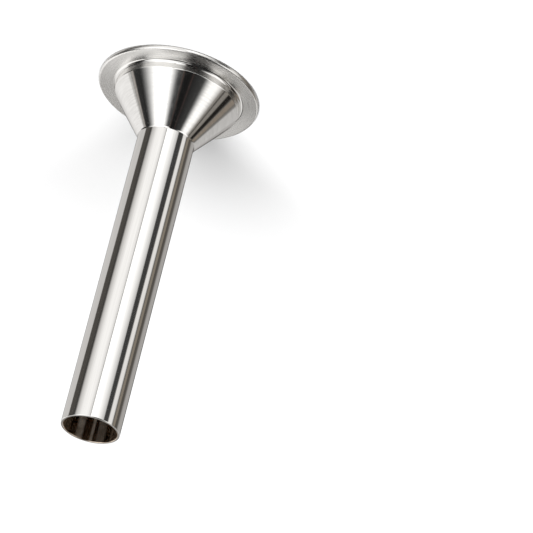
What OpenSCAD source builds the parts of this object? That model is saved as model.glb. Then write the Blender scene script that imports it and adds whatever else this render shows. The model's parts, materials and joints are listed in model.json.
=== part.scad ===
// Sausage stuffing tube in polished stainless steel.
// A flat flange turns up through a hollow fillet into a short collar, a cone runs in from the collar's
// rounded edge, and a long straight tube carries on from the cone's neck. It is one hollow piece, open
// at both ends.
// The section is drawn once, in radius and height, and turned about +Z.
// The part stands on the back face of its flange, with the tube upwards. Sizes are in millimetres.

/* [Flange] */
// Outside diameter of the flange
flange_d = 100; // [92:0.5:120]
// Thickness of the flange
flange_t = 3.2; // [2.5:0.1:6]
// Rounding of the flange's two rim edges
rim_round = 1.2; // [0.2:0.1:2]

/* [Collar] */
// Outside diameter of the collar
collar_d = 77; // [60:0.5:84]
// Height of the collar's edge above the front face of the flange
collar_h = 5.2; // [3:0.1:10]
// Hollow fillet where the flange turns up into the collar
collar_fillet = 2.2; // [0.5:0.1:6]
// Rounding of the edge where the collar turns into the cone
collar_edge = 1; // [0.1:0.05:1.5]
// Rounding of the edge of the mouth, on the back face
mouth_round = 0.8; // [0.2:0.1:1.5]

/* [Cone] */
// Height of the cone, from the collar's edge to the neck
cone_h = 29; // [18:0.1:50]
// Hollow fillet at the neck, where the cone runs into the tube
neck_fillet = 2; // [0.5:0.1:8]

/* [Tube] */
// Outside diameter of the tube
tube_d = 35; // [20:0.5:45]
// Overall length, from the back face of the flange to the free end of the tube
overall_l = 236; // [120:1:320]
// Rounding of the free end's inner and outer edges
lip_round = 0.4; // [0.1:0.05:0.8]

/* [Wall] */
// Thickness of the collar, the cone and the tube
wall = 1.5; // [1:0.1:2.5]

/* [Hidden] */

// Straight steps in each rounded corner of the section, and round the whole turn
arc_steps = 10;
turn_steps = 180;

// Most of a wall's thickness that one rounded edge may take
edge_share = 0.45;
rim_r = min(rim_round, edge_share * flange_t);
lip_r = min(lip_round, edge_share * wall);

// Radii of the four round walls
flange_rad = flange_d / 2;
collar_rad = collar_d / 2;
tube_rad = tube_d / 2;
mouth_rad = collar_rad - wall;
bore_rad = tube_rad - wall;

// Heights of the collar's edge and of the neck, on the outside
collar_z = flange_t + collar_h;
neck_z = collar_z + cone_h;

// The inside follows the outside at one wall's distance, so its corners lie lower by the mitre
cone_angle = atan2(collar_rad - tube_rad, cone_h);
mitre = wall * tan(cone_angle / 2);

// The hollow fillet leaves room for the collar's rounded edge above it and for a flat ring beside it
fillet_share = 0.95;
fillet_room_up = collar_h - collar_edge * tan(cone_angle / 2);
fillet_room_out = flange_rad - rim_r - collar_rad;
fillet_r = min(collar_fillet, fillet_share * min(fillet_room_up, fillet_room_out));

// Corners of the section, each as a point [radius, height] and its rounding,
// from the mouth out round the flange, up the outside and back down the bore
SECTION = [
    [[mouth_rad, 0], mouth_round],
    [[flange_rad, 0], rim_r],
    [[flange_rad, flange_t], rim_r],
    [[collar_rad, flange_t], fillet_r],
    [[collar_rad, collar_z], collar_edge],
    [[tube_rad, neck_z], neck_fillet],
    [[tube_rad, overall_l], lip_r],
    [[bore_rad, overall_l], lip_r],
    [[bore_rad, neck_z - mitre], neck_fillet + wall],
    [[mouth_rad, collar_z - mitre], collar_edge],
];

function unit(v) = v / norm(v);

// Points of the arc that rounds the corner at a point, on the way between its two neighbours
function rounded_corner(before, at, after, rounding) =
    let (
        back = unit(before - at),
        on = unit(after - at),
        half_angle = acos(back * on) / 2,
        centre = at + unit(back + on) * rounding / sin(half_angle),
        start = at + back * rounding / tan(half_angle) - centre,
        first = atan2(start.y, start.x),
        sweep = sign(cross(on, back)) * (180 - 2 * half_angle)
    )
    [for (i = [0:arc_steps])
        let (angle = first + sweep * i / arc_steps)
        centre + rounding * [cos(angle), sin(angle)]];

// Outline of a section with all its corners rounded
function rounded_outline(corners) =
    let (n = len(corners))
    [for (i = [0:n - 1])
        each rounded_corner(
            corners[(i + n - 1) % n][0],
            corners[i][0],
            corners[(i + 1) % n][0],
            corners[i][1]
        )];

// The whole part: flange, collar, cone and tube in one turned section
module stuffing_tube() {
    color("silver")
        rotate_extrude($fn = turn_steps)
            polygon(rounded_outline(SECTION));
}

stuffing_tube();
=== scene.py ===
import json
import math

import bpy
import numpy as np
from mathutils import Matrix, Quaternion, Vector


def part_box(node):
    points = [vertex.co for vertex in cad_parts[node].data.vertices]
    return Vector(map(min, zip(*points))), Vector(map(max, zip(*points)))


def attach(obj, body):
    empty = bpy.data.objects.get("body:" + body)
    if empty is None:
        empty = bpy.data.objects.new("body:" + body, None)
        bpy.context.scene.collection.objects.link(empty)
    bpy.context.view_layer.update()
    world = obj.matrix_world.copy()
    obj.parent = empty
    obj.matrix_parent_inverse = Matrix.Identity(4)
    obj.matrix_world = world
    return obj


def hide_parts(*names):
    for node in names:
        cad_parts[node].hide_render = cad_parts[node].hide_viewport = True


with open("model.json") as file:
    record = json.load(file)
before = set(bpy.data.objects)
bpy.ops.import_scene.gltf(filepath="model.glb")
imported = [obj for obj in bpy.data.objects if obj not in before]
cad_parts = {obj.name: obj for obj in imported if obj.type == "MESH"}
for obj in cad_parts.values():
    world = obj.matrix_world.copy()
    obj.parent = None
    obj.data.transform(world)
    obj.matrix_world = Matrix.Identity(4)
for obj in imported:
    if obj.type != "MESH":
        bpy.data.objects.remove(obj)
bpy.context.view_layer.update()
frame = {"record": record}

NODE = "stuffing_tube"
MM = 0.001

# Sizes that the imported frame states, in metres
mounts = {mount["name"]: mount for mount in frame["record"]["mounts"]}
flange_rad = mounts["flange_rim"]["dims"]["r_mm"] * MM
tube_rad = mounts["casing_tube"]["dims"]["r_mm"] * MM
bore_rad = mounts["bore"]["dims"]["r_mm"] * MM
flange_t = mounts["ring_face"]["pos_m"][2]
overall_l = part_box(NODE)[1].z

# Sizes of the section that the frame doesn't state
rim_round = 1.2 * MM
collar_rad = 38.5 * MM
collar_h = 5.2 * MM
collar_fillet = 2.2 * MM
collar_edge = 1 * MM
mouth_round = 0.8 * MM
cone_h = 29 * MM
neck_fillet = 2 * MM
lip_round = 0.4 * MM

# Sizes that follow from the others
wall = tube_rad - bore_rad
mouth_rad = collar_rad - wall
collar_z = flange_t + collar_h
neck_z = collar_z + cone_h
cone_angle = math.atan2(collar_rad - tube_rad, cone_h)
mitre = wall * math.tan(cone_angle / 2)

# Fineness of the turned mesh
TURN_STEPS = 320
ARC_STEPS = 14
LONGEST_STEP = 8 * MM


# The section: its corners as (radius, height), their rounding, and the finish of the wall after each

FACE, RIM, CONE, TUBE, BORE = range(5)
SECTION = [
    ((mouth_rad, 0), mouth_round, FACE),
    ((flange_rad, 0), rim_round, RIM),
    ((flange_rad, flange_t), rim_round, FACE),
    ((collar_rad, flange_t), collar_fillet, CONE),
    ((collar_rad, collar_z), collar_edge, CONE),
    ((tube_rad, neck_z), neck_fillet, TUBE),
    ((tube_rad, overall_l), lip_round, TUBE),
    ((bore_rad, overall_l), lip_round, BORE),
    ((bore_rad, neck_z - mitre), neck_fillet + wall, BORE),
    ((mouth_rad, collar_z - mitre), collar_edge, BORE),
]


def corner_arc(before, at, after, rounding):
    """Points and outward normals of the arc that rounds one corner of the section."""
    before, at, after = (np.array(p) for p in (before, at, after))
    back = (before - at) / np.linalg.norm(before - at)
    on = (after - at) / np.linalg.norm(after - at)
    half_angle = math.acos(float(back @ on)) / 2
    inward = (back + on) / np.linalg.norm(back + on)
    centre = at + inward * rounding / math.sin(half_angle)
    start = at + back * rounding / math.tan(half_angle) - centre
    first = math.atan2(start[1], start[0])
    bulge = math.copysign(1, on[0] * back[1] - on[1] * back[0])
    sweep = bulge * (math.pi - 2 * half_angle)
    rows = []
    for step in range(ARC_STEPS + 1):
        angle = first + sweep * step / ARC_STEPS
        out = np.array((math.cos(angle), math.sin(angle)))
        rows.append((centre + rounding * out, bulge * out))
    return rows


def section_rows():
    """Rows of the turned mesh: points, outward normals, and the finish of the faces after each row."""
    count = len(SECTION)
    points, normals, finishes = [], [], []
    for i, (at, rounding, finish) in enumerate(SECTION):
        before, after = SECTION[i - 1][0], SECTION[(i + 1) % count][0]
        arc = corner_arc(before, at, after, rounding)
        following = SECTION[(i + 2) % count][0]
        next_arc = corner_arc(at, after, following, SECTION[(i + 1) % count][1])
        for point, normal in arc:
            points.append(point)
            normals.append(normal)
            finishes.append(RIM if RIM in (finish, SECTION[i - 1][2]) else finish)
        finishes[-1] = finish
        end, start = arc[-1][0], next_arc[0][0]
        pieces = max(1, math.ceil(np.linalg.norm(start - end) / LONGEST_STEP))
        for piece in range(1, pieces):
            points.append(end + (start - end) * piece / pieces)
            normals.append(arc[-1][1])
            finishes.append(finish)
    return np.array(points), np.array(normals), finishes


def turned_piece(name, materials):
    """Turns the section about +Z into one closed mesh with exact normals."""
    points, normals, finishes = section_rows()
    rows = len(points)
    # The turn starts at the back, away from the camera
    angles = math.pi / 2 + 2 * math.pi * np.arange(TURN_STEPS) / TURN_STEPS
    circle = np.stack([np.cos(angles), np.sin(angles)], axis=1)

    def turn(profile):
        flat = profile[:, None, :1] * circle[None]
        up = np.broadcast_to(profile[:, None, 1:], (rows, TURN_STEPS, 1))
        return np.concatenate([flat, up], axis=2).reshape(-1, 3)

    faces = []
    for row in range(rows):
        here, there = row * TURN_STEPS, (row + 1) % rows * TURN_STEPS
        for step in range(TURN_STEPS):
            beside = (step + 1) % TURN_STEPS
            faces.append((here + step, here + beside, there + beside, there + step))
    mesh = bpy.data.meshes.new(name)
    mesh.from_pydata(turn(points).tolist(), [], faces)
    mesh.polygons.foreach_set("material_index", np.repeat(finishes, TURN_STEPS))
    mesh.polygons.foreach_set("use_smooth", np.ones(len(faces), bool))
    for material in materials:
        mesh.materials.append(material)
    lengths = np.linalg.norm(np.diff(points, axis=0), axis=1)
    along = np.repeat(np.concatenate([[0], np.cumsum(lengths)]), TURN_STEPS)
    mesh.attributes.new("along", "FLOAT", "POINT").data.foreach_set("value", along.astype(np.float32))
    mesh.normals_split_custom_set_from_vertices(turn(normals).tolist())
    mesh.validate()
    piece = bpy.data.objects.new(name, mesh)
    bpy.context.scene.collection.objects.link(piece)
    return piece


# Short ways to add nodes


def add(tree, kind, **settings):
    made = tree.nodes.new(kind)
    for key, value in settings.items():
        setattr(made, key, value)
    return made


def feed(tree, socket, value):
    """Links an output to a socket, or sets the socket to a plain value."""
    if isinstance(value, bpy.types.NodeSocket):
        tree.links.new(value, socket)
    else:
        socket.default_value = value


def maths(tree, operation, first, second=0.0):
    made = add(tree, "ShaderNodeMath", operation=operation)
    feed(tree, made.inputs[0], first)
    feed(tree, made.inputs[1], second)
    return made.outputs[0]


def ramp(tree, value, start, end, low=0.0, high=1.0, kind="SMOOTHSTEP"):
    """Goes from low at start to high at end, and stays there on either side."""
    made = add(tree, "ShaderNodeMapRange", interpolation_type=kind)
    feed(tree, made.inputs["Value"], value)
    feed(tree, made.inputs["From Min"], start)
    feed(tree, made.inputs["From Max"], end)
    feed(tree, made.inputs["To Min"], low)
    feed(tree, made.inputs["To Max"], high)
    return made.outputs["Result"]


def blend(tree, factor, first, second):
    """Mixes two colours."""
    made = add(tree, "ShaderNodeMix", data_type="RGBA")
    feed(tree, made.inputs["Factor"], factor)
    feed(tree, made.inputs[6], first)
    feed(tree, made.inputs[7], second)
    return made.outputs[2]


def noise(tree, vector, detail):
    made = add(tree, "ShaderNodeTexNoise")
    feed(tree, made.inputs["Vector"], vector)
    made.inputs["Scale"].default_value = 1.0
    made.inputs["Detail"].default_value = detail
    return made.outputs["Fac"]


# Steel, in five finishes

# Shares of the coarse and the fine streaks in the pattern
COARSE_SHARE = 0.6
FINE_SHARE = 0.4
# Values of the pattern between which the colour and the gloss change
COLOUR_RANGE = (0.35, 0.65)
GLOSS_RANGE = (0.3, 0.7)
# Part of a mark's width that is marked in full, and how fine streaks break it up
MARK_CORE = 0.25
MARK_BREAK_RANGE = (0.3, 0.6)
MARK_LEAST = 0.6
# A quarter turn, which lays the grain round the axis
GRAIN_TURN = 0.25


def outward(tree):
    """The level direction from the axis to the surface, as a vector of length 1."""
    place = add(tree, "ShaderNodeTexCoord").outputs["Object"]
    flat = add(tree, "ShaderNodeVectorMath", operation="MULTIPLY")
    tree.links.new(place, flat.inputs[0])
    flat.inputs[1].default_value = (1, 1, 0)
    unit = add(tree, "ShaderNodeVectorMath", operation="NORMALIZE")
    tree.links.new(flat.outputs[0], unit.inputs[0])
    return unit.outputs[0]


def streaks(tree, around, along):
    """A pattern's place: so many waves to the radian round the axis, and to the metre along the section."""
    turned = add(tree, "ShaderNodeVectorMath", operation="SCALE")
    tree.links.new(outward(tree), turned.inputs[0])
    turned.inputs["Scale"].default_value = around
    split = add(tree, "ShaderNodeSeparateXYZ")
    tree.links.new(turned.outputs[0], split.inputs[0])
    length = add(tree, "ShaderNodeAttribute", attribute_name="along").outputs["Fac"]
    joined = add(tree, "ShaderNodeCombineXYZ")
    tree.links.new(split.outputs[0], joined.inputs[0])
    tree.links.new(split.outputs[1], joined.inputs[1])
    tree.links.new(maths(tree, "MULTIPLY", length, along), joined.inputs[2])
    return joined.outputs[0]


def mark_cover(tree, marks):
    """How matt lengthwise marks are: each has a turn and a half width in degrees, and a share."""
    direction = outward(tree)
    cover = 0.0
    for turn, half_width, share in marks:
        turn, half_width = math.radians(turn), math.radians(half_width)
        toward = add(tree, "ShaderNodeVectorMath", operation="DOT_PRODUCT")
        tree.links.new(direction, toward.inputs[0])
        toward.inputs[1].default_value = (-math.sin(turn), -math.cos(turn), 0)
        edge, full = math.cos(half_width), math.cos(half_width * MARK_CORE)
        cover = maths(tree, "MAXIMUM", cover, ramp(tree, toward.outputs["Value"], edge, full, 0, share))
    return cover


def steel(name, coarse, fine, pale, dull, gloss, depth, grain=0.0, marks=()):
    """Polished steel whose coarse and fine streaks vary its colour, its gloss and its surface."""
    made = bpy.data.materials.new(name)
    made.use_nodes = True
    tree = made.node_tree
    shader = tree.nodes["Principled BSDF"]
    shader.inputs["Metallic"].default_value = 1.0
    broad = noise(tree, streaks(tree, *coarse), detail=3.0)
    narrow = noise(tree, streaks(tree, *fine), detail=2.0)
    broad_part = maths(tree, "MULTIPLY", broad, COARSE_SHARE)
    narrow_part = maths(tree, "MULTIPLY", narrow, FINE_SHARE)
    mixed = maths(tree, "ADD", broad_part, narrow_part)
    worn = ramp(tree, mixed, *COLOUR_RANGE)
    tree.links.new(blend(tree, worn, (*dull, 1), (*pale, 1)), shader.inputs["Base Color"])
    tree.links.new(ramp(tree, mixed, *GLOSS_RANGE, gloss[1], gloss[0]), shader.inputs["Roughness"])
    bump = add(tree, "ShaderNodeBump")
    bump.inputs["Strength"].default_value = 1.0
    bump.inputs["Distance"].default_value = depth
    tree.links.new(mixed, bump.inputs["Height"])
    tree.links.new(bump.outputs["Normal"], shader.inputs["Normal"])
    if marks:
        breaks = ramp(tree, narrow, *MARK_BREAK_RANGE, MARK_LEAST, 1.0)
        cover = maths(tree, "MULTIPLY", mark_cover(tree, marks), breaks)
        tree.links.new(maths(tree, "SUBTRACT", 1.0, cover), shader.inputs["Metallic"])
    if grain:
        shader.inputs["Anisotropic"].default_value = grain
        shader.inputs["Anisotropic Rotation"].default_value = GRAIN_TURN
        tangent = add(tree, "ShaderNodeTangent", direction_type="RADIAL", axis="Z")
        tree.links.new(tangent.outputs[0], shader.inputs["Tangent"])
    return made


PALE_STEEL = (0.785, 0.775, 0.76)
DULL_STEEL = (0.71, 0.70, 0.685)


def face_steel():
    """Flange faces, turned to a satin."""
    return steel(
        "face_steel",
        coarse=(2.5, 700),
        fine=(4, 3000),
        pale=PALE_STEEL,
        dull=DULL_STEEL,
        gloss=(0.24, 0.32),
        depth=1.2e-6,
        grain=0.85,
    )


def rim_steel():
    """Rim of the flange and its rounded edges."""
    return steel(
        "rim_steel",
        coarse=(3, 900),
        fine=(5, 3600),
        pale=PALE_STEEL,
        dull=DULL_STEEL,
        gloss=(0.18, 0.26),
        depth=1e-6,
    )


def cone_steel():
    """Collar and cone, polished on a lathe."""
    return steel(
        "cone_steel",
        coarse=(2.5, 900),
        fine=(4, 3600),
        pale=PALE_STEEL,
        dull=DULL_STEEL,
        gloss=(0.06, 0.13),
        depth=1.5e-6,
        grain=0.4,
    )


def tube_steel():
    """Straight tube, polished lengthwise."""
    return steel(
        "tube_steel",
        coarse=(45, 30),
        fine=(120, 60),
        pale=PALE_STEEL,
        dull=(0.735, 0.725, 0.71),
        gloss=(0.05, 0.1),
        depth=2e-6,
    )


# Lengthwise marks in the bore, each as turn, half width and share
BORE_MARKS = [
    (-159, 10, 0.14),
    (174, 4, 0.12),
    (154, 12, 0.07),
    (20, 10, 0.1),
    (-70, 14, 0.1),
]


def bore_steel():
    """Inside of the tube and the cone, left as drawn."""
    return steel(
        "bore_steel",
        coarse=(9, 14),
        fine=(3, 420),
        pale=(0.76, 0.66, 0.56),
        dull=(0.62, 0.51, 0.40),
        gloss=(0.14, 0.22),
        depth=2e-6,
        marks=BORE_MARKS,
    )


# The studio: cards that show only in the polish, placed by turn and lift in degrees.
# Turn is measured about the tube's axis from the camera's side, with the picture's left as negative.

# Lift that the low cards reach down to, and lifts at which the edges of low and high cards are stated
LOWEST_LIFT = -88
LOW_LEVEL = -28
HIGH_LEVEL = 32


def card(turn, soft, lift, light, level, lean=(0, 0), lift_soft=(4, 4)):
    """One card: its two edges in turn at a level of lift, how soft they are, and how they lean with lift."""
    return {
        "turn": turn,
        "soft": soft,
        "lift": lift,
        "light": (*light, 1),
        "level": level,
        "lean": lean,
        "lift_soft": lift_soft,
    }


def low_card(turn, soft, light, top=8, **others):
    """A card from far below up to a lift near the horizon, which upright walls mirror."""
    return card(turn, soft, (LOWEST_LIFT, top), light, level=LOW_LEVEL, **others)


def high_card(turn, soft, light, lift=(8, 64), level=HIGH_LEVEL, **others):
    """A card above the horizon, which the cone and the flange mirror."""
    return card(turn, soft, lift, light, level, **others)


WHITE = (1.7, 1.7, 1.69)
CARDS = [
    # Far left, pale
    low_card((-166, -105), (24, 3), (0.70, 0.685, 0.67), top=-14, lean=(0, -1.2)),
    high_card((-160, -109), (50, 3), (1.06, 1.05, 1.04), lift=(-16, 66), lift_soft=(14, 6)),
    high_card((-158, -116), (16, 6), (1.35, 1.34, 1.32), lift=(24, 58)),
    low_card((-180, -160), (1, 12), (0.3, 0.295, 0.29), top=-21),
    # Dark stand on the left, with a pale edge above the horizon
    low_card((-105, -72), (3, 12), (0.09, 0.084, 0.076), top=-4, lean=(-1.2, -0.8)),
    low_card((-82, -74), (6, 4), (0.062, 0.06, 0.056), top=-4, lean=(-0.8, -0.8)),
    high_card((-109, -106), (1, 1), (0.3, 0.3, 0.3), level=20, lean=(-1.2, -1.2)),
    high_card((-106, -99), (1, 1), (0.47, 0.44, 0.41), level=20, lean=(-1.2, -1.2)),
    # Softboxes on the left, and dark gaps beside them
    low_card((-56, -14), (32, 26), (1.2, 1.19, 1.175), top=0, lean=(-0.8, -0.6)),
    high_card((-86, 0), (4, 4), WHITE, lift=(-6, 64)),
    high_card(
        (-99.5, -67),
        (3, 38),
        (0.035, 0.035, 0.035),
        lift=(-6, 34),
        level=20,
        lean=(-1.2, 0),
        lift_soft=(4, 6),
    ),
    high_card((-115, -86), (6, 10), (0.02, 0.02, 0.02), lift=(24, 60)),
    high_card((-113, -80), (4, 10), (0.03, 0.03, 0.03), lift=(-10, 13), level=5, lean=(0.8, 0)),
    # Narrow gap and the large key card in front
    low_card((-12, -9), (1, 1), (0.42, 0.415, 0.41), lean=(-0.6, -0.6)),
    low_card((-9, 29.5), (1.5, 78), WHITE, top=-14, lean=(-0.6, -0.2)),
    # Dark opening behind the camera, with a white card over its left and two narrow reflections in it
    high_card((-20, 70), (24, 4), (0.055, 0.055, 0.055), lift=(-12, 74), level=40, lean=(-1.3, 0)),
    high_card((-44, -4), (6, 10), WHITE, lift=(46, 62)),
    high_card((1, 28), (8, 40), (0.012, 0.012, 0.012), lift=(-12, 74)),
    high_card((-1, 1), (1, 1), (0.09, 0.06, 0.05), lift=(16, 60)),
    high_card((18, 20), (1, 1), (0.07, 0.045, 0.04), lift=(16, 60)),
    # Right side, below the horizon
    low_card((40.9, 60.5), (3, 4), (0.06, 0.06, 0.059), lean=(0, -0.5)),
    low_card((62.5, 80), (4, 8), (0.98, 0.965, 0.945), lean=(-0.5, 0)),
    low_card((82, 86), (2, 2), (0.12, 0.115, 0.105)),
    low_card((86, 99), (2, 3), (0.28, 0.245, 0.20)),
    low_card((98, 118), (3, 14), (0.11, 0.10, 0.088)),
    low_card((118, 166), (18, 16), (0.46, 0.445, 0.43), top=-14),
    low_card((156, 180), (12, 1), (0.08, 0.078, 0.075), top=-21),
    # Right side, above the horizon
    high_card((48, 80), (22, 4), (1.4, 1.39, 1.37), lift=(-6, 66), lean=(0.9, 0)),
    high_card(
        (146, 172),
        (6, 3),
        (1.6, 1.59, 1.56),
        lift=(34, 54),
        level=42,
        lean=(-0.6, -0.6),
        lift_soft=(6, 4),
    ),
    high_card((76, 99), (18, 3), (0.29, 0.27, 0.245), lift=(-4, 64)),
    high_card((82, 106), (8, 4), (0.8, 0.78, 0.75), lift=(29, 60)),
    high_card((84, 87), (1, 1), (0.07, 0.065, 0.06), lift=(-4, 64)),
    high_card((107.5, 122), (3, 3), (0.3, 0.255, 0.21), level=16, lean=(1.1, 1.1)),
    high_card((94.5, 108.5), (3, 8), (0.016, 0.0145, 0.013), level=19, lean=(0.4, 1.1)),
    high_card((118.5, 121.5), (1, 1), (0.2, 0.18, 0.155), level=12, lean=(1.0, 1.0)),
    high_card(
        (124, 166),
        (8, 30),
        (0.62, 0.61, 0.6),
        lift=(-14, 50),
        level=8,
        lean=(0.8, 0),
        lift_soft=(10, 6),
    ),
    high_card((140, 164), (8, 8), (0.98, 0.97, 0.95), lift=(17, 38)),
    # Behind the part, pale above on the left and darker elsewhere
    high_card((-180, -152), (1, 20), (1.3, 1.29, 1.27), lift=(32, 52), lift_soft=(4, 6)),
    high_card((-180, -160), (1, 12), (0.3, 0.292, 0.282), lift=(8, 27), lift_soft=(6, 4)),
    high_card((166, 180), (6, 1), (0.03, 0.03, 0.03), lift=(27, 36), lift_soft=(3, 3)),
]

# Behind the cards on both sides, and how far the change from one to the other reaches
BACK_LEFT = (0.66, 0.645, 0.63)
BACK_RIGHT = (0.23, 0.222, 0.21)
BACK_SOFT = 0.05
# Straight below, and the lifts between which it takes over
NADIR = (0.3, 0.295, 0.29)
NADIR_LIFT = (-89, -80)
# Overhead on both sides, where one changes to the other, and the lifts between which they take over
TOP_RIGHT = (0.012, 0.012, 0.012)
TOP_LEFT = (0.72, 0.71, 0.70)
TOP_SOFT = (-0.12, -0.04)
TOP_LIFT = (54, 62)
# Straight up, and the lifts between which it takes over
ZENITH = (0.03, 0.03, 0.03)
ZENITH_LIFT = (71, 78)
# How far from a card's level its edges lean
LEAN_REACH = 14
# Strength of the even light on everything but the steel
FILL_LIGHT = 0.09


def card_edge(tree, turn, lift, place, soft, lean, level, inside_after):
    """How far a direction lies on the inner side of one upright edge of a card, from 0 to 1."""
    offset = turn
    if lean:
        most = LEAN_REACH * lean
        drift = ramp(tree, lift, level - LEAN_REACH, level + LEAN_REACH, -most, most, "LINEAR")
        offset = maths(tree, "SUBTRACT", turn, drift)
    inside = (0.0, 1.0) if inside_after else (1.0, 0.0)
    return ramp(tree, offset, place - soft / 2, place + soft / 2, *inside)


def studio():
    """Cards for what the steel mirrors, and even pale light for everything else."""
    scene = bpy.context.scene
    world = bpy.data.worlds.new("studio")
    scene.world = world
    world.use_nodes = True
    world.cycles.sampling_method = "NONE"
    tree = world.node_tree
    tree.nodes.clear()
    place = add(tree, "ShaderNodeTexCoord").outputs["Generated"]
    split = add(tree, "ShaderNodeSeparateXYZ")
    tree.links.new(place, split.inputs[0])
    x, y, z = split.outputs
    minus_x, minus_y = maths(tree, "MULTIPLY", x, -1.0), maths(tree, "MULTIPLY", y, -1.0)
    turn = maths(tree, "DEGREES", maths(tree, "ARCTAN2", minus_x, minus_y))
    lift = maths(tree, "DEGREES", maths(tree, "ARCSINE", z))
    on_left = ramp(tree, x, -BACK_SOFT, BACK_SOFT)
    colour = blend(tree, on_left, (*BACK_RIGHT, 1), (*BACK_LEFT, 1))
    for c in CARDS:
        low, high = c["lift"]
        soft_low, soft_high = c["lift_soft"]
        edges = [
            card_edge(tree, turn, lift, c["turn"][0], c["soft"][0], c["lean"][0], c["level"], True),
            card_edge(tree, turn, lift, c["turn"][1], c["soft"][1], c["lean"][1], c["level"], False),
            ramp(tree, lift, low - soft_low / 2, low + soft_low / 2),
            ramp(tree, lift, high - soft_high / 2, high + soft_high / 2, 1.0, 0.0),
        ]
        cover = edges[0]
        for edge in edges[1:]:
            cover = maths(tree, "MULTIPLY", cover, edge)
        colour = blend(tree, cover, colour, c["light"])
    colour = blend(tree, ramp(tree, lift, *NADIR_LIFT), (*NADIR, 1), colour)
    overhead = blend(tree, ramp(tree, x, *TOP_SOFT), (*TOP_RIGHT, 1), (*TOP_LEFT, 1))
    colour = blend(tree, ramp(tree, lift, *TOP_LIFT), colour, overhead)
    colour = blend(tree, ramp(tree, lift, *ZENITH_LIFT), colour, (*ZENITH, 1))
    mirrored = add(tree, "ShaderNodeBackground")
    tree.links.new(colour, mirrored.inputs["Color"])
    plain = add(tree, "ShaderNodeBackground")
    plain.inputs["Color"].default_value = (1, 1, 1, 1)
    paths = add(tree, "ShaderNodeLightPath")
    seen = paths.outputs["Is Camera Ray"]
    tree.links.new(ramp(tree, seen, 0, 1, FILL_LIGHT, 1.0, "LINEAR"), plain.inputs["Strength"])
    chosen = add(tree, "ShaderNodeMixShader")
    tree.links.new(paths.outputs["Is Glossy Ray"], chosen.inputs[0])
    tree.links.new(plain.outputs[0], chosen.inputs[1])
    tree.links.new(mirrored.outputs[0], chosen.inputs[2])
    out = add(tree, "ShaderNodeOutputWorld")
    tree.links.new(chosen.outputs[0], out.inputs["Surface"])


def soft_lamp(name, turn, lift, spread, strength):
    """A broad soft lamp far off, which lights the floor and doesn't show in the steel."""
    turn, lift = math.radians(turn), math.radians(lift)
    toward = Vector((-math.sin(turn) * math.cos(lift), -math.cos(turn) * math.cos(lift), math.sin(lift)))
    data = bpy.data.lights.new(name, "SUN")
    data.angle = math.radians(spread)
    data.energy = strength
    lamp = bpy.data.objects.new(name, data)
    lamp.rotation_mode = "QUATERNION"
    lamp.rotation_quaternion = (-toward).to_track_quat("-Z", "Y")
    lamp.visible_glossy = False
    bpy.context.scene.collection.objects.link(lamp)


FLOOR_COLOUR = (0.86, 0.86, 0.86)
FLOOR_ROUGHNESS = 0.9


def pale_floor(half_width):
    """A plain pale floor under the part, which the steel doesn't mirror."""
    made = bpy.data.materials.new("pale_floor")
    made.use_nodes = True
    shader = made.node_tree.nodes["Principled BSDF"]
    shader.inputs["Base Color"].default_value = (*FLOOR_COLOUR, 1)
    shader.inputs["Roughness"].default_value = FLOOR_ROUGHNESS
    shader.inputs["Specular IOR Level"].default_value = 0.0
    corners = [(-half_width, -half_width, 0), (half_width, -half_width, 0)]
    corners += [(half_width, half_width, 0), (-half_width, half_width, 0)]
    mesh = bpy.data.meshes.new("floor")
    mesh.from_pydata(corners, [], [(0, 1, 2, 3)])
    mesh.materials.append(made)
    floor = bpy.data.objects.new("floor", mesh)
    floor.visible_glossy = False
    bpy.context.scene.collection.objects.link(floor)


# The camera stands where the photograph was taken from, with the tube pointing down the picture
CAMERA_AT = Vector((0, -1.6262, 0.9913))
CAMERA_AIM = Vector((-0.0771, 0, 0.1029))
CAMERA_ROLL = math.radians(-166.55)
CAMERA_LENS = 209.5
CAMERA_SENSOR = 36
CAMERA_REACH = 100


def camera():
    data = bpy.data.cameras.new("camera")
    data.lens = CAMERA_LENS
    data.sensor_width = CAMERA_SENSOR
    data.clip_end = CAMERA_REACH
    seen = bpy.data.objects.new("camera", data)
    seen.location = CAMERA_AT
    seen.rotation_mode = "QUATERNION"
    aim = (CAMERA_AIM - CAMERA_AT).to_track_quat("-Z", "Y")
    seen.rotation_quaternion = aim @ Quaternion((0, 0, 1), CAMERA_ROLL)
    bpy.context.scene.collection.objects.link(seen)
    bpy.context.scene.camera = seen


# Light bounces between the flange and the collar, and inside the bore
BOUNCES = 16

scene = bpy.context.scene
scene.view_settings.view_transform = "Standard"
scene.cycles.glossy_bounces = BOUNCES
scene.cycles.max_bounces = BOUNCES
scene.cycles.caustics_reflective = False

camera()
studio()
soft_lamp("key_lamp", turn=-24, lift=58, spread=25, strength=3)
soft_lamp("side_lamp", turn=15, lift=46, spread=26, strength=1.7)
pale_floor(half_width=20)

tube = turned_piece(
    "stuffing_tube_steel", [face_steel(), rim_steel(), cone_steel(), tube_steel(), bore_steel()]
)
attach(tube, "root")
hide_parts(NODE)
